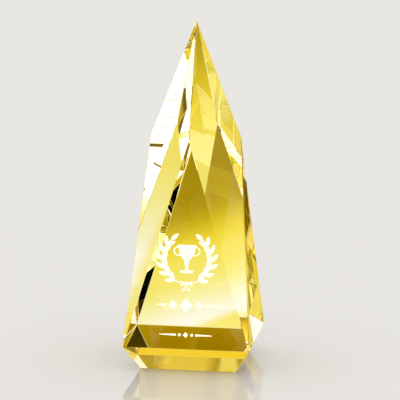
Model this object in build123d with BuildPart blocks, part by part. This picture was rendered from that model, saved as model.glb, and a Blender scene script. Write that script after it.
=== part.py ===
from build123d import *
import os
from math import atan, cos, degrees, radians, sin, sqrt, tan

# Crystal award: a solid faceted obelisk of optical crystal with a sand-carved, colour-filled emblem.
# Millimetres, +Z up. The origin is the centre of the flat underside and the carved facet faces -Y.

# ---------------------------------------------------------------- driving dimensions
point_height = 203.5       # underside to the sharp point, before the edges are eased
girdle_width = 74.5        # side of the widest level, a square
girdle_height = 14.75      # widest level above the underside
foot_width = 56.0          # side of the flat underside
face_lean = 5.0            # degrees, lean of the four main facets from upright
arris_width = 0.4          # width of the polished bevel that eases every edge

carve_depth = 0.3          # depth of the sand-carved pockets below the front facet
fill_thickness = 0.2       # thickness of the colour fill
fill_clearance = 0.05      # gap left between a fill and its pocket, on the floor and the walls

emblem_height = 53.0       # wreath and cup centre, up the front facet from the girdle edge
wreath_radius = 14.3       # centre line of the laurel stems
stem_width = 0.8
leaf_length = 6.2
leaf_width = 2.5
leaf_splay = 32.0          # degrees between a leaf and its stem
leaf_pairs = 6             # pairs of leaves on each branch
first_leaf_pair = 0.6      # pitches from the cut end of a stem to its first pair
tip_leaf_gap = 0.5         # pitches added to the stem beyond one per pair
stem_start = 18.0          # degrees from the bottom of the wreath to the cut end of a stem
stem_end = 138.0           # degrees from the bottom of the wreath to the last leaf

tie_reach = 3.5            # half width of the bow that ties the branches
tie_wing = 1.9             # half height of the bow at its ends
tie_knot_radius = 1.2
tie_tail = 4.2             # length of the two ribbon ends
tie_tail_span = (0.2, 0.8)  # inner and outer corners of a ribbon end, as parts of tie_reach

cup_height = 16.5
cup_mouth_width = 10.0
cup_rim_width = 11.4
cup_rim_height = 1.4
cup_bowl_height = 9.6
cup_bowl_bulge = 1.3       # how far the bowl's side bows out from a straight taper
cup_stem_width = 1.9
cup_knop_radius = 1.5
cup_foot_width = 7.6
cup_foot_height = 1.7
cup_handle_drop = 3.65     # middle of a handle below the mouth
cup_handle_radius = 2.5
cup_handle_thickness = 0.9
cup_handle_start = -120.0  # degrees from straight out to a handle's lower end
cup_handle_sweep = 220.0

title_height = 26.0        # title rule, up the front facet from the girdle edge
title_width = 35.0
title_lozenge = (7.6, 8.4)  # width and height of the middle lozenge
title_side_lozenge = (5.0, 5.6)
title_side_offset = 7.8
title_dash_start = 11.6
title_dash_height = 1.9

dedication_height = 8.6    # dedication rule, up the front facet from the girdle edge
dedication_width = 31.0
dedication_lozenge = (3.2, 3.6)
dedication_dot_radius = 0.9
dedication_dot_offset = 3.6
dedication_dash_start = 5.6
dedication_dash_height = 1.3

dash_tip_height = 0.5      # height of every dash at its thin outer end

# ---------------------------------------------------------------- derived dimensions
half_girdle = girdle_width / 2
half_foot = foot_width / 2
girdle_corner_radius = half_girdle * sqrt(2)
corner_lean = degrees(atan(girdle_corner_radius / (point_height - girdle_height)))
undercut_lean = degrees(atan((half_girdle - half_foot) / girdle_height))


# ---------------------------------------------------------------- facet planes
def around(turn, radius, height):
    """Point at a turn in degrees round the centre line; turn 0 is the front, -Y."""
    return Vector(radius * sin(radians(turn)), -radius * cos(radians(turn)), height)


def facet(turn, radius, height, lean):
    """Grinding plane through a point, facing outwards and leaning back from upright by lean degrees."""
    outward = around(turn, cos(radians(lean)), sin(radians(lean)))
    return Plane(origin=around(turn, radius, height), z_dir=outward)


def arris(edge_point, first, second):
    """Plane that eases the edge where two facets meet, leaving a bevel arris_width wide."""
    outward = (first.z_dir + second.z_dir).normalized()
    half_turn = radians(first.z_dir.get_angle(second.z_dir)) / 2
    depth = arris_width / 2 * tan(half_turn)
    return Plane(origin=edge_point - outward * depth, z_dir=outward)


quarter_turns = [0, 90, 180, 270]
main_facets = [facet(turn, half_girdle, girdle_height, face_lean) for turn in quarter_turns]
corner_facets = [facet(turn + 45, 0, point_height, corner_lean) for turn in quarter_turns]
undercuts = [facet(turn, half_girdle, girdle_height, -undercut_lean) for turn in quarter_turns]
underside = Plane(origin=(0, 0, 0), z_dir=(0, 0, -1))

arrises = []
for quarter, turn in enumerate(quarter_turns):
    main = main_facets[quarter]
    right_corner = corner_facets[quarter]
    left_corner = corner_facets[quarter - 1]
    undercut = undercuts[quarter]
    point = around(turn, 0, point_height)
    right_girdle_corner = around(turn + 45, girdle_corner_radius, girdle_height)
    left_girdle_corner = around(turn - 45, girdle_corner_radius, girdle_height)
    arrises.append(arris(point, left_corner, right_corner))
    arrises.append(arris(right_girdle_corner, main, right_corner))
    arrises.append(arris(left_girdle_corner, main, left_corner))
    arrises.append(arris(around(turn, half_girdle, girdle_height), main, undercut))
    arrises.append(arris(left_girdle_corner, undercut, undercuts[quarter - 1]))
    arrises.append(arris(around(turn, half_foot, 0), undercut, underside))

# ---------------------------------------------------------------- carved artwork, drawn flat
# Drawn on the front facet's own axes: x across, y up the facet from the middle of the girdle edge.

with BuildSketch() as leaf:
    with BuildLine():
        SagittaArc((0, 0), (leaf_length, 0), leaf_width / 2)
        SagittaArc((leaf_length, 0), (0, 0), leaf_width / 2)
    make_face()

with BuildSketch() as right_branch:
    with Locations((0, emblem_height)):
        SlotArc(
            CenterArc((0, 0), wreath_radius, stem_start - 90, stem_end - stem_start),
            height=stem_width,
        )
    leaf_pitch = (stem_end - stem_start) / (leaf_pairs + tip_leaf_gap)
    for pair in range(leaf_pairs):
        along = stem_start + leaf_pitch * (pair + first_leaf_pair) - 90
        foot_x = wreath_radius * cos(radians(along))
        foot_y = emblem_height + wreath_radius * sin(radians(along))
        for splay in (-leaf_splay, leaf_splay):
            with Locations(Location((foot_x, foot_y, 0), (0, 0, along + 90 + splay))):
                add(leaf.sketch)
    end = stem_end - 90
    tip_x = wreath_radius * cos(radians(end))
    tip_y = emblem_height + wreath_radius * sin(radians(end))
    with Locations(Location((tip_x, tip_y, 0), (0, 0, end + 90))):
        add(leaf.sketch)

with BuildSketch() as left_branch:
    mirror(right_branch.sketch, about=Plane.YZ)

tail_inner = tie_tail_span[0] * tie_reach
tail_outer = tie_tail_span[1] * tie_reach
with BuildSketch() as wreath_tie:
    with Locations((0, emblem_height - wreath_radius)):
        Polygon((0, 0), (tie_reach, -tie_wing), (tie_reach, tie_wing), align=None)
        Polygon((0, 0), (-tie_reach, tie_wing), (-tie_reach, -tie_wing), align=None)
        Circle(tie_knot_radius)
        Polygon((0, 0), (-tail_outer, -tie_tail), (-tail_inner, -tie_tail), align=None)
        Polygon((0, 0), (tail_inner, -tie_tail), (tail_outer, -tie_tail), align=None)

cup_base = emblem_height - cup_height / 2
cup_mouth = emblem_height + cup_height / 2
cup_bowl_foot = cup_mouth - cup_bowl_height
with BuildSketch() as cup:
    with BuildLine():
        bowl_side = SagittaArc(
            (cup_stem_width / 2, cup_bowl_foot), (cup_mouth_width / 2, cup_mouth), -cup_bowl_bulge
        )
        Line((0, cup_mouth), bowl_side @ 1)
        Line((0, cup_bowl_foot), bowl_side @ 0)
        Line((0, cup_bowl_foot), (0, cup_mouth))
    make_face()
    with Locations((0, cup_base)):
        Rectangle(cup_stem_width / 2, cup_height / 2, align=(Align.MIN, Align.MIN))
        Rectangle(cup_foot_width / 2, cup_foot_height, align=(Align.MIN, Align.MIN))
    with Locations((0, cup_bowl_foot - cup_knop_radius / 2)):
        Circle(cup_knop_radius)
    with Locations((0, cup_mouth)):
        Rectangle(cup_rim_width / 2, cup_rim_height, align=(Align.MIN, Align.MAX))
    with Locations((cup_mouth_width / 2, cup_mouth - cup_handle_drop)):
        SlotArc(
            CenterArc((0, 0), cup_handle_radius, cup_handle_start, cup_handle_sweep),
            height=cup_handle_thickness,
        )
    mirror(about=Plane.YZ)


def lozenge(across, size):
    """Add a lozenge of (width, height) with its middle at a distance across, to the open sketch."""
    with Locations((across, 0)):
        half_width, half_height = size[0] / 2, size[1] / 2
        Polygon((-half_width, 0), (0, -half_height), (half_width, 0), (0, half_height), align=None)


def tapered_dash(start, end, start_height):
    """Add a dash that thins outwards from start to end along x, to the open sketch."""
    tip = dash_tip_height / 2
    thick = start_height / 2
    Polygon((start, -thick), (end, -tip), (end, tip), (start, thick), align=None)


with BuildSketch() as title_drawing:
    lozenge(0, title_lozenge)
    lozenge(title_side_offset, title_side_lozenge)
    tapered_dash(title_dash_start, title_width / 2, title_dash_height)
    mirror(about=Plane.YZ)

with BuildSketch() as dedication_drawing:
    lozenge(0, dedication_lozenge)
    with Locations((dedication_dot_offset, 0)):
        Circle(dedication_dot_radius)
    tapered_dash(dedication_dash_start, dedication_width / 2, dedication_dash_height)
    mirror(about=Plane.YZ)

with BuildSketch() as title_rule:
    with Locations((0, title_height)):
        add(title_drawing.sketch)

with BuildSketch() as dedication_rule:
    with Locations((0, dedication_height)):
        add(dedication_drawing.sketch)

artwork = {
    "laurel_left_fill": left_branch.sketch,
    "laurel_right_fill": right_branch.sketch,
    "wreath_tie_fill": wreath_tie.sketch,
    "cup_fill": cup.sketch,
    "title_rule_fill": title_rule.sketch,
    "dedication_rule_fill": dedication_rule.sketch,
}

# ---------------------------------------------------------------- the crystal block
front_normal = main_facets[0].z_dir
front_facet = Plane(origin=main_facets[0].origin, x_dir=(1, 0, 0), z_dir=front_normal)
fill_plane = front_facet.offset(fill_clearance - carve_depth)

with BuildPart() as crystal_body:
    with BuildSketch():
        Rectangle(girdle_width, girdle_width)
    extrude(amount=point_height)
    for grinding_plane in main_facets + corner_facets + undercuts + arrises:
        split(bisect_by=grinding_plane, keep=Keep.BOTTOM)
    with BuildSketch(front_facet):
        for drawing in artwork.values():
            add(drawing)
    extrude(amount=-carve_depth, mode=Mode.SUBTRACT)
crystal_body.part.label = "crystal_body"
os.makedirs("parts", exist_ok=True)
export_step(crystal_body.part, "parts/crystal_body.step")

# ---------------------------------------------------------------- the colour fills
for name, drawing in artwork.items():
    with BuildPart() as fill:
        with BuildSketch(fill_plane):
            offset(drawing, amount=-fill_clearance)
        extrude(amount=fill_thickness)
    fill.part.label = name
    export_step(fill.part, f"parts/{name}.step")
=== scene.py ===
from math import cos, degrees, radians, sin

import bpy
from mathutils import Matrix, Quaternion, Vector


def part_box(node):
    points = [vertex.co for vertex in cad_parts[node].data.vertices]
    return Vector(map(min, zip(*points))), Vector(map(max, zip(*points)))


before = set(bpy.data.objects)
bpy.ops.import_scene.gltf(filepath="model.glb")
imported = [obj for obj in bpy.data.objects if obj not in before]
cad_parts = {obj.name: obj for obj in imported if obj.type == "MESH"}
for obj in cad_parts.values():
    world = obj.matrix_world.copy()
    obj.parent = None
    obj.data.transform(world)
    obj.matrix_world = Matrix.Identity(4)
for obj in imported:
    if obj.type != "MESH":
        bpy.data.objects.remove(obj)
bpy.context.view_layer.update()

# Crystal award in a small light studio. Metres, +Z up, carved facet towards -Y.
# Azimuths and elevations are in degrees: azimuth 0 points along +Y, behind the award, and 90 along +X.
# "facing" is the direction in which a ray is followed away from the viewer, and a slope is the downward
# part of it. Where a pair of values gives a range, something fades in from the first to the second.
BLACK = (0.0, 0.0, 0.0)

# ---------------------------------------------------------------- camera
middle = Vector((0, 0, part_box("crystal_body")[1].z / 2))  # camera and lamps aim at the award's middle
CAMERA_TURN = 8.65            # degrees the camera stands round to the award's right
CAMERA_RISE = 9.72            # degrees the camera looks down
CAMERA_ROLL = 0.3             # degrees the camera leans to its left
CAMERA_DISTANCE = 1.2435
CAMERA_LENS = 189.2           # millimetres on a 36 mm sensor
CAMERA_SHIFT = (0.0108, -0.0202)

# ---------------------------------------------------------------- crystal and fills
CRYSTAL_IOR = 1.517
CRYSTAL_TINT = (0.98, 0.92, 0.30)
CRYSTAL_TINT_DENSITY = 5.0    # per metre
POLISH_WAVE = {"Scale": 26.0, "Detail": 1.0, "Roughness": 0.4}  # noise scales are per metre
POLISH_WAVE_BUMP = {"Strength": 0.05, "Distance": 0.002}
POLISH_HAZE = {"Scale": 60.0, "Detail": 4.0, "Roughness": 0.6}
POLISH_HAZE_RANGE = (0.55, 0.95)
POLISH_HAZE_ROUGHNESS = 0.02  # where the polish is haziest

FILL_CREAM = (0.96, 0.93, 0.80)
FILL_SHADE = (0.86, 0.82, 0.66)
FILL_MOTTLE = {"Scale": 260.0, "Detail": 3.0}
FILL_MOTTLE_RANGE = (0.35, 0.80)
FILL_GRAIN = {"Scale": 2400.0, "Detail": 3.0}
FILL_GRAIN_BUMP = {"Strength": 0.35, "Distance": 0.0001}
FILL_ROUGHNESS = 0.75

# ---------------------------------------------------------------- plain floor, as the camera sees it
FLOOR_SIZE = 24.0
FLOOR_DROP = 0.0001           # the floor lies this far under the award's flat foot
FLOOR_COLOUR = (0.78, 0.77, 0.75)
FLOOR_SHEEN = 0.30            # part of the floor's look that its gloss makes up: a real mirror where it shows the award, a painted reflection of the pale sky elsewhere
FLOOR_SHEEN_ROUGHNESS = 0.06
MIRROR_ASIDE = (0.058, 0.042)   # the gloss mirrors the award alone: a mirrored ray has to pass this near
MIRROR_PAST = (0.060, 0.030)    # to the centre line, start no further than this beyond it,
MIRROR_HEIGHT = (0.300, 0.220)  # and pass no higher than this
BACKDROP = (-9, 10, 80, 14)   # azimuth, elevation, half width, half height of the pale sky it mirrors
BACKDROP_COLOUR = (0.90, 0.88, 0.85)

# ---------------------------------------------------------------- warm light painted on the floor, as the crystal shows it
POOL_CENTRE = (-0.025, 0.0)
POOL_TURN = 23.2              # azimuth of the pool's long axis
POOL_LENGTH = 3.15            # long radius over short radius
POOL_STOPS = (                # short radius, colour
    (0.0, (1.08, 1.08, 1.20)),
    (0.040, (1.06, 1.06, 1.05)),
    (0.055, (1.03, 0.99, 0.68)),
    (0.070, (1.00, 0.93, 0.38)),
    (0.085, (0.98, 0.86, 0.20)),
    (0.110, (0.96, 0.82, 0.13)),
    (0.125, (0.92, 0.76, 0.05)),
    (0.137, (0.87, 0.68, 0.03)),
    (0.150, (0.74, 0.56, 0.01)),
    (0.168, (0.57, 0.41, 0.0)),
    (0.185, (0.47, 0.32, 0.0)),
    (0.205, (0.41, 0.28, 0.0)),
    (0.260, (0.39, 0.25, 0.0)),
    (0.400, (0.46, 0.31, 0.0)),
    (1.200, (0.48, 0.32, 0.01)),
)
POOL_FRONT = (-0.30, -0.06)   # y over which the floor on the camera's side brightens
GOLD_SHADOW_EDGE = (-0.012, 0.070, 30.1)  # x, y and azimuth of the edge of the award's painted golden shadow on the floor behind the foot
GOLD_SHADOW_BLUR = (-0.008, 0.006)        # distance past that edge
GOLD_SHADOW_START = (0.045, 0.065)        # y over which it begins
GOLD_SHADOW_FILTER = (0.97, 0.86, 0.24)
GRAZING_SLOPE = (0.20, 0.10)  # at a low slope the floor shows in a deeper gold
GRAZING_FILTER = (0.95, 0.76, 0.12)
FLOOR_LIGHT_AND_SHADE = (               # painted light and shade, each seen in one direction: azimuth, elevation, half width, half height, colour factor
    (67.5, -58.5, 8, 5, (0.92, 0.82, 0.06)),
    (85, -62, 6, 4, (0.67, 0.72, 0.36)),
    (29, -42.5, 5, 4, (0.42, 0.25, 0.03)),
    (26.5, -52, 5, 4, (0.96, 0.93, 0.80)),
    (30, -24.5, 5, 4, (0.82, 0.67, 0.20)),
    (5, -42.5, 5, 4, (0.96, 0.93, 0.72)),
    (-85.5, -56.5, 3, 2.5, (0.92, 0.85, 0.30)),
    (19.5, -24.5, 7, 6, (0.91, 0.92, 1.0)),
    (97.5, -74, 6, 4, (0.93, 0.88, 0.68)),
    (153, -66, 7, 4, (0.88, 0.78, 0.25)),
    (-161, -68.5, 5, 4, (0.95, 0.90, 0.75)),
    (-167, -52, 6, 4, (2.0, 1.85, 0.05)),
    (40, -41, 5, 4, (0.95, 0.85, 0.08)),
)
FRONT_LEFT_CARD = (206, -2, 11, 7)  # azimuth, elevation, half width, half height
FRONT_LEFT_LIGHT = (1.05, 0.90, 0.25)
MIRRORED_FILTER = (0.80, 0.68, 0.25)  # the floor as the outside of a facet mirrors it

GLOW = (0.75, 0.75, 1.8)      # light under the foot, as seen through the crystal
GLOW_EDGE = (0.068, 0.058)    # distance from the middle
GLOW_DRAWN_IN = 0.25          # part by which that edge draws in at a low slope
GLOW_DRAWN_IN_SLOPE = (0.60, 0.45)
CONTACT_EDGE = (0.046, 0.036)   # the foot's contact shadow: distance from the middle,
CONTACT_SLOPE = (0.40, 0.25)    # and the slope under which it shows
STRIP_SHADOW_BACK = -0.0175         # y of the back edge of a painted narrow shadow under the foot's front left
STRIP_SHADOW_FRONT = (-0.030, -0.028)  # y over which it begins at the front
STRIP_SHADOW_RIGHT = -0.001         # x of its right edge
STRIP_SHADOW_SLANT = (0.54, -0.007)  # its right edge as seen from behind: x per y, and x where y is 0
STRIP_SHADOW_STEEP = (0.70, 0.76)   # slope of the rays that meet it
STRIP_SHADOW_RIGHTWARD = (0.10, 0.18)  # x part of the rays that meet it
STRIP_SHADOW_BACKWARD = (0.15, 0.35)   # y part of a ray over which the slanting edge takes over
STRIP_SHADOW_STOPS = (              # depth past the edge, colour filter
    (0.0, (1.0, 1.0, 1.0)),
    (0.001, (0.05, 0.03, 0.0)),
    (0.003, (0.06, 0.03, 0.0)),
    (0.0055, (0.28, 0.22, 0.02)),
    (0.008, (0.30, 0.24, 0.02)),
)

# ---------------------------------------------------------------- sky
SURROUND = (1.0, 0.99, 0.97)  # what the camera and matte surfaces see of it
BACK_STOPS = (                # elevation, colour of the sky behind the award
    (0.0, (0.33, 0.19, 0.0)),
    (1.4, (0.36, 0.21, 0.0)),
    (2.3, (0.47, 0.29, 0.0)),
    (2.7, (0.95, 0.64, 0.01)),
    (9.0, (1.00, 0.74, 0.10)),
    (20.0, (0.80, 0.58, 0.05)),
    (31.0, (0.44, 0.29, 0.01)),
    (60.0, (0.40, 0.27, 0.02)),
    (90.0, (0.60, 0.50, 0.20)),
)
FRONT_STOPS = (               # elevation, colour of the sky on the camera's side
    (0.0, (0.012, 0.010, 0.006)),
    (2.7, (0.03, 0.03, 0.01)),
    (12.0, (0.60, 0.58, 0.40)),
    (30.0, (0.70, 0.60, 0.32)),
    (60.0, (0.95, 0.88, 0.45)),
    (90.0, (0.60, 0.50, 0.20)),
)
SKY_TURNOVER = (-0.45, 0.45)  # y part of a direction over which the front sky gives way to the back sky
SOFT_BOXES = (                # azimuth, elevation, half width, half height, colour
    (-10.05, 31, 0.85, 9, (0.36, 0.27, 0.04)),
    (-8.65, 31, 0.35, 9, (0.32, 0.30, 0.07)),
    (-4, 43, 14, 7, (0.95, 0.95, 1.05)),
    (200, 44, 34, 14, (0.60, 0.65, 1.70)),
    (278, 9, 22, 16, (0.10, 0.10, 0.08)),
    (97, 17, 20, 14, (0.57, 0.42, 0.05)),
    (72, 48, 16, 12, (0.10, 0.06, 0.0)),
    (297, 1, 12, 6, (0.70, 0.65, 0.30)),
    (316, 8, 8, 7, (0.60, 0.70, 1.40)),
    (331, 31, 8, 7, (0.50, 0.70, 1.00)),
    (50, 9, 10, 8, (0.60, 0.70, 1.10)),
    (290, 39, 10, 8, (0.50, 0.46, 0.08)),
    (168, 61, 12, 8, (0.60, 0.60, 0.15)),
    (200.4, 41, 4, 3, (0.0, 0.20, 0.65)),
)
BOX_SOFTNESS = 0.5            # part of a soft box's or floor card's half size that its edge fades over
FLAGS = (                     # azimuth, elevation, half width, half height, part of the light let through
    (148, -1, 17, 10, 0.0),
    (101, 0, 9, 6, 0.0),
    (24, 26, 10, 7, 0.0),
    (-49, -72, 12, 9, 0.0),
    (112, -36, 12, 9, 0.0),
    (-75, -38, 9, 7, 0.0),
    (231, 56, 12, 6, 0.0),
    (125, 29, 11, 5, 0.0),
    (-51, 51, 8, 6, 0.0),
    (153, 28, 7, 6, 0.0),
    (13, 5, 6, 4, 0.30),
)
FLAG_SOFTNESS = 0.3
CARD_AHEAD = (0.0, 0.01)      # cosine to a card's middle, so that it has no twin on the other side

# ---------------------------------------------------------------- lamps
LAMPS = (                     # name, azimuth, elevation, watts, colour
    ("key", 200, 24, 20.0, (1.0, 0.98, 0.93)),
    ("left_fill", 240, 30, 6.0, (1.0, 0.98, 0.95)),
)
LAMP_DISTANCE = 1.6
LAMP_SIZE = 1.0


# ---------------------------------------------------------------- node graphs
class Graph:
    """Short calls for building one node tree."""

    def __init__(self, tree):
        self.tree = tree
        tree.nodes.clear()

    def node(self, kind, inputs=None, **settings):
        made = self.tree.nodes.new("ShaderNode" + kind)
        for name, value in settings.items():
            setattr(made, name, value)
        for key, value in (inputs or {}).items():
            self.feed(made.inputs[key], value)
        return made

    def feed(self, socket, value):
        if isinstance(value, bpy.types.NodeSocket):
            self.tree.links.new(value, socket)
        elif hasattr(value, "__len__") and socket.type == "RGBA":
            socket.default_value = (*value, 1.0)
        else:
            socket.default_value = value

    def maths(self, operation, first, second=0.0):
        return self.node("Math", {0: first, 1: second}, operation=operation).outputs[0]

    def product(self, first, *others):
        for other in others:
            first = self.maths("MULTIPLY", first, other)
        return first

    def rest(self, share):
        """What a share leaves of 1."""
        return self.maths("SUBTRACT", 1.0, share)

    def vector(self, operation, first, second):
        made = self.node("VectorMath", {0: first, 1: second}, operation=operation)
        return made.outputs["Value" if operation == "DOT_PRODUCT" else "Vector"]

    def length(self, vector):
        return self.node("VectorMath", {0: vector}, operation="LENGTH").outputs["Value"]

    def scaled(self, vector, factor):
        made = self.node("VectorMath", {0: vector, "Scale": factor}, operation="SCALE")
        return made.outputs["Vector"]

    def parts(self, vector):
        """The x, y and z of a vector."""
        return self.node("SeparateXYZ", {0: vector}).outputs

    def smooth(self, value, low, high):
        """0 at low, 1 at high, with an eased rise between them."""
        inputs = {"Value": value, "From Min": low, "From Max": high}
        return self.node("MapRange", inputs, interpolation_type="SMOOTHSTEP").outputs[0]

    def ramp(self, value, stops):
        """A colour that follows (place, colour) stops; the ramp is scaled to the last place."""
        last = stops[-1][0]
        made = self.node("ValToRGB", {0: self.maths("DIVIDE", value, last)})
        elements = made.color_ramp.elements
        for place, _ in stops[1:-1]:
            elements.new(place / last)
        for element, (place, colour) in zip(elements, stops):
            element.position = place / last
            element.color = (*colour, 1.0)
        return made.outputs[0]

    def mix(self, factor, first, second, operation="MIX"):
        """Two colours blended; the Mix node's colour sockets are inputs 6 and 7 and output 2."""
        inputs = {"Factor": factor, 6: first, 7: second}
        return self.node("Mix", inputs, data_type="RGBA", blend_type=operation).outputs[2]

    def shader_mix(self, factor, first, second):
        return self.node("MixShader", {0: factor, 1: first, 2: second}).outputs[0]


def new_material(name):
    made = bpy.data.materials.new(name)
    made.use_nodes = True
    return made, Graph(made.node_tree)


def direction(azimuth, elevation):
    turn, rise = radians(azimuth), radians(elevation)
    return Vector((sin(turn) * cos(rise), cos(turn) * cos(rise), sin(rise)))


# ---------------------------------------------------------------- materials of the award
def crystal_material():
    """Polished optical crystal: clear facets, a light yellow tint that deepens with the light's path."""
    made, graph = new_material("optical_crystal")
    place = graph.node("TexCoord").outputs["Object"]
    wave = graph.node("TexNoise", {"Vector": place, **POLISH_WAVE}).outputs[0]
    bump = graph.node("Bump", {"Height": wave, **POLISH_WAVE_BUMP}).outputs[0]
    haze = graph.node("TexNoise", {"Vector": place, **POLISH_HAZE}).outputs[0]
    haze = graph.smooth(haze, *POLISH_HAZE_RANGE)
    surface = graph.node(
        "BsdfPrincipled",
        {
            "Base Color": (1.0, 1.0, 1.0),
            "Roughness": graph.maths("MULTIPLY", haze, POLISH_HAZE_ROUGHNESS),
            "IOR": CRYSTAL_IOR,
            "Transmission Weight": 1.0,
            "Normal": bump,
        },
    )
    tint = graph.node("VolumeAbsorption", {"Color": CRYSTAL_TINT, "Density": CRYSTAL_TINT_DENSITY})
    graph.node("OutputMaterial", {"Surface": surface.outputs[0], "Volume": tint.outputs[0]})
    return made


def fill_material():
    """Matte cream colour fill with a fine grain and a faint mottle."""
    made, graph = new_material("cream_fill")
    place = graph.node("TexCoord").outputs["Object"]
    mottle = graph.node("TexNoise", {"Vector": place, **FILL_MOTTLE}).outputs[0]
    colour = graph.mix(graph.smooth(mottle, *FILL_MOTTLE_RANGE), FILL_CREAM, FILL_SHADE)
    grain = graph.node("TexNoise", {"Vector": place, **FILL_GRAIN}).outputs[0]
    bump = graph.node("Bump", {"Height": grain, **FILL_GRAIN_BUMP}).outputs[0]
    look = {"Base Color": colour, "Roughness": FILL_ROUGHNESS, "Normal": bump}
    surface = graph.node("BsdfPrincipled", look)
    graph.node("OutputMaterial", {"Surface": surface.outputs[0]})
    return made


# ---------------------------------------------------------------- cards and flags
def card_share(graph, facing, azimuth, elevation, half_width, half_height, softness=BOX_SOFTNESS):
    """How much of a rectangular card is seen in a direction, 0 to 1."""
    ahead = direction(azimuth, elevation)
    right = direction(azimuth + 90, 0)
    above = right.cross(ahead)
    share = graph.smooth(graph.vector("DOT_PRODUCT", facing, ahead), *CARD_AHEAD)
    for axis, half_angle in ((right, half_width), (above, half_height)):
        offset = graph.vector("DOT_PRODUCT", facing, axis / sin(radians(half_angle)))
        edge = graph.smooth(graph.maths("ABSOLUTE", offset), 1.0, 1.0 - softness)
        share = graph.product(share, edge)
    return share


def unflagged(graph, facing):
    """1 where a direction is clear of the flags, down to what the flag lets through where one hides it."""
    clear = 1.0
    for *card, passed in FLAGS:
        held = graph.product(card_share(graph, facing, *card, FLAG_SOFTNESS), 1.0 - passed)
        clear = graph.product(graph.rest(held), clear)
    return clear


# ---------------------------------------------------------------- floor
def pool_colour(graph, place):
    """The long pool of light on the floor, by distance from its middle."""
    offset = graph.vector("SUBTRACT", place, (*POOL_CENTRE, 0.0))
    x = graph.vector("DOT_PRODUCT", offset, direction(POOL_TURN + 90, 0))
    y = graph.vector("DOT_PRODUCT", offset, direction(POOL_TURN, 0) / POOL_LENGTH)
    squared = graph.maths("ADD", graph.product(x, x), graph.product(y, y))
    return graph.ramp(graph.maths("SQRT", squared), POOL_STOPS)


def gold_shadow_share(graph, place):
    """1 on the award's painted golden shadow on the floor close behind the foot, to the right of a
    slanting edge.
    """
    x, y, azimuth = GOLD_SHADOW_EDGE
    offset = graph.vector("SUBTRACT", place, (x, y, 0.0))
    past_edge = graph.vector("DOT_PRODUCT", offset, direction(azimuth + 90, 0))
    begun = graph.smooth(graph.parts(place)[1], *GOLD_SHADOW_START)
    return graph.product(graph.smooth(past_edge, *GOLD_SHADOW_BLUR), begun)


def glow_share(graph, slope, distance):
    """1 on the floor under the foot, which draws in at a low slope."""
    drawn_in = graph.product(graph.smooth(slope, *GLOW_DRAWN_IN_SLOPE), GLOW_DRAWN_IN)
    reach = graph.product(distance, graph.maths("ADD", 1.0, drawn_in))
    return graph.smooth(reach, *GLOW_EDGE)


def strip_shadow_share(graph, facing, slope, place):
    """1 for the rays that meet the painted strip shadow: steep, rightward, and landing under the foot."""
    to_right = graph.smooth(graph.parts(facing)[0], *STRIP_SHADOW_RIGHTWARD)
    steep = graph.smooth(slope, *STRIP_SHADOW_STEEP)
    under = graph.smooth(graph.parts(place)[1], *STRIP_SHADOW_FRONT)
    return graph.product(to_right, steep, under)


def strip_shadow_filter(graph, facing, place):
    """Colour filter of the painted strip shadow by depth past its edge."""
    x, y, _ = graph.parts(place)
    in_front = graph.maths("SUBTRACT", STRIP_SHADOW_BACK, y)
    square = graph.maths("MINIMUM", in_front, graph.maths("SUBTRACT", STRIP_SHADOW_RIGHT, x))
    slant, slant_x = STRIP_SHADOW_SLANT
    edge = graph.maths("ADD", graph.product(y, slant), slant_x)
    slanted = graph.maths("SUBTRACT", edge, x)
    backward = graph.smooth(graph.parts(facing)[1], *STRIP_SHADOW_BACKWARD)
    square_part = graph.product(square, graph.rest(backward))
    depth = graph.maths("ADD", square_part, graph.product(slanted, backward))
    return graph.ramp(depth, STRIP_SHADOW_STOPS)


def warm_floor_light(graph, path, facing, place):
    """The floor as the crystal shows it, all painted light: a warm pool, patches of light and shade, a
    glow and shadows at the foot.
    """
    slope = graph.product(graph.parts(facing)[2], -1.0)
    distance = graph.length(place)
    through = path["Is Transmission Ray"]

    colour = pool_colour(graph, place)
    # painted golden shadow of the award on the floor behind the foot
    colour = graph.mix(gold_shadow_share(graph, place), colour, GOLD_SHADOW_FILTER, "MULTIPLY")
    colour = graph.mix(graph.smooth(slope, *GRAZING_SLOPE), colour, GRAZING_FILTER, "MULTIPLY")
    glow = graph.product(glow_share(graph, slope, distance), through)
    colour = graph.mix(glow, colour, GLOW, "ADD")
    # painted patches of light and shade, each seen only in its own direction
    for *card, tint in FLOOR_LIGHT_AND_SHADE:
        colour = graph.mix(card_share(graph, facing, *card), colour, tint, "MULTIPLY")
    # painted narrow shadow under the foot's front left
    strip_shadow = strip_shadow_share(graph, facing, slope, place)
    colour = graph.mix(strip_shadow, colour, strip_shadow_filter(graph, facing, place), "MULTIPLY")
    colour = graph.mix(graph.rest(through), colour, MIRRORED_FILTER, "MULTIPLY")

    lit = graph.smooth(graph.parts(place)[1], *POOL_FRONT)
    contact = graph.product(graph.smooth(distance, *CONTACT_EDGE), graph.smooth(slope, *CONTACT_SLOPE))
    strength = graph.product(lit, unflagged(graph, facing), graph.rest(contact))
    colour = graph.mix(strength, BLACK, colour)
    return graph.mix(card_share(graph, facing, *FRONT_LEFT_CARD), colour, FRONT_LEFT_LIGHT)


def mirrors_award(graph, facing, place):
    """1 on the strip of floor that mirrors the award towards the viewer, 0 elsewhere."""
    level = graph.vector("MULTIPLY", facing, (1.0, 1.0, 0.0))
    run = graph.length(level)
    heading = graph.scaled(level, graph.maths("DIVIDE", 1.0, run))
    aside = graph.length(graph.vector("CROSS_PRODUCT", place, heading))
    past = graph.vector("DOT_PRODUCT", place, heading)
    height = graph.product(past, graph.maths("DIVIDE", graph.parts(facing)[2], run))
    return graph.product(
        graph.smooth(aside, *MIRROR_ASIDE),
        graph.smooth(past, *MIRROR_PAST),
        graph.smooth(height, *MIRROR_HEIGHT),
    )


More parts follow.
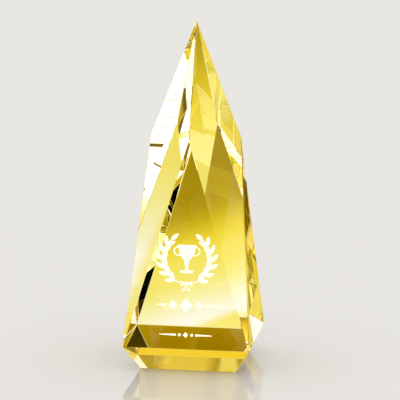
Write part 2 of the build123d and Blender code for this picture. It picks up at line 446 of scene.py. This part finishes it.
def plain_floor(graph, facing, place):
    """The floor as the camera sees it: pale and matte, with a gloss that mirrors the award and a painted
    reflection of the pale sky elsewhere.
    """
    matte = graph.node("BsdfDiffuse", {"Color": FLOOR_COLOUR}).outputs[0]
    # painted reflection: away from the award the floor's gloss is an even glow in the pale sky's colour
    backdrop = graph.node("Emission", {"Color": BACKDROP_COLOUR}).outputs[0]
    gloss = graph.node("BsdfGlossy", {"Color": (1.0, 1.0, 1.0), "Roughness": FLOOR_SHEEN_ROUGHNESS})
    sheen = graph.shader_mix(mirrors_award(graph, facing, place), backdrop, gloss.outputs[0])
    return graph.shader_mix(FLOOR_SHEEN, matte, sheen)


def floor_material():
    """Plain to the camera, and a glow painted with warm light and shade to rays that come through or off
    the crystal.
    """
    made, graph = new_material("studio_floor")
    path = graph.node("LightPath").outputs
    geometry = graph.node("NewGeometry").outputs
    place = geometry["Position"]
    facing = graph.scaled(geometry["Incoming"], -1.0)
    warm = graph.node("Emission", {"Color": warm_floor_light(graph, path, facing, place)}).outputs[0]
    plain = plain_floor(graph, facing, place)
    surface = graph.shader_mix(path["Is Camera Ray"], warm, plain)
    graph.node("OutputMaterial", {"Surface": surface})
    made.cycles.emission_sampling = "NONE"
    return made


def build_floor():
    half = FLOOR_SIZE / 2
    outline = ((-half, -half), (half, -half), (half, half), (-half, half))
    mesh = bpy.data.meshes.new("studio_floor")
    mesh.from_pydata([(x, y, -FLOOR_DROP) for x, y in outline], [], [(0, 1, 2, 3)])
    mesh.materials.append(floor_material())
    floor = bpy.data.objects.new("studio_floor", mesh)
    bpy.context.scene.collection.objects.link(floor)
    return floor


# ---------------------------------------------------------------- sky, lamps and camera
def build_sky():
    """Even pale light for the camera and matte surfaces, and a warm studio for what the crystal shows."""
    world = bpy.data.worlds.new("studio")
    bpy.context.scene.world = world
    world.use_nodes = True
    world.cycles.sampling_method = "NONE"
    graph = Graph(world.node_tree)
    path = graph.node("LightPath").outputs
    facing = graph.node("TexCoord").outputs["Generated"]
    _, y, z = graph.parts(facing)
    elevation = graph.product(graph.maths("ARCSINE", z), degrees(1.0))
    behind = graph.smooth(y, *SKY_TURNOVER)
    colour = graph.mix(behind, graph.ramp(elevation, FRONT_STOPS), graph.ramp(elevation, BACK_STOPS))
    for *card, light in SOFT_BOXES:
        colour = graph.mix(card_share(graph, facing, *card), colour, light, "ADD")
    colour = graph.mix(unflagged(graph, facing), BLACK, colour)
    mirrored = graph.rest(path["Is Transmission Ray"])
    backdrop = graph.product(card_share(graph, facing, *BACKDROP), mirrored)
    colour = graph.mix(backdrop, colour, BACKDROP_COLOUR)
    seen = graph.mix(path["Is Glossy Ray"], SURROUND, colour)  # light through the glass counts as glossy
    graph.node("OutputWorld", {"Surface": graph.node("Background", {"Color": seen}).outputs[0]})


def all_but(piece):
    """A light-linking collection that leaves one object out of a lamp's light."""
    made = bpy.data.collections.new("unlit_" + piece.name)
    made.objects.link(piece)
    made.collection_objects[0].light_linking.link_state = "EXCLUDE"
    return made


def build_lamps(receivers):
    """Soft lamps for the matte fills; they cast no shadows and don't show in the crystal."""
    for name, azimuth, elevation, power, colour in LAMPS:
        data = bpy.data.lights.new(name, "AREA")
        data.size = LAMP_SIZE
        data.energy = power
        data.color = colour
        data.use_shadow = False
        lamp = bpy.data.objects.new(name, data)
        lamp.location = middle + direction(azimuth, elevation) * LAMP_DISTANCE
        lamp.rotation_euler = (middle - lamp.location).to_track_quat("-Z", "Y").to_euler()
        lamp.visible_glossy = False
        lamp.visible_transmission = False
        lamp.light_linking.receiver_collection = receivers
        bpy.context.scene.collection.objects.link(lamp)


def build_camera():
    data = bpy.data.cameras.new("camera")
    data.lens = CAMERA_LENS
    data.shift_x, data.shift_y = CAMERA_SHIFT
    camera = bpy.data.objects.new("camera", data)
    back = direction(180 - CAMERA_TURN, CAMERA_RISE)
    camera.location = middle + back * CAMERA_DISTANCE
    roll = Quaternion((0, 0, 1), radians(CAMERA_ROLL))
    camera.rotation_euler = ((-back).to_track_quat("-Z", "Y") @ roll).to_euler()
    bpy.context.scene.collection.objects.link(camera)
    bpy.context.scene.camera = camera


# ---------------------------------------------------------------- the award and its studio
crystal = crystal_material()
fill = fill_material()
for name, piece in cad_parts.items():
    piece.data.shade_flat()
    piece.data.materials.clear()
    piece.data.materials.append(crystal if name == "crystal_body" else fill)

build_sky()
build_lamps(all_but(build_floor()))
build_camera()

scene = bpy.context.scene
scene.view_settings.view_transform = "Standard"
scene.cycles.max_bounces = 24
scene.cycles.transmission_bounces = 20
scene.cycles.glossy_bounces = 12
scene.cycles.transparent_max_bounces = 16
scene.cycles.sample_clamp_indirect = 8.0
scene.cycles.use_denoising = True
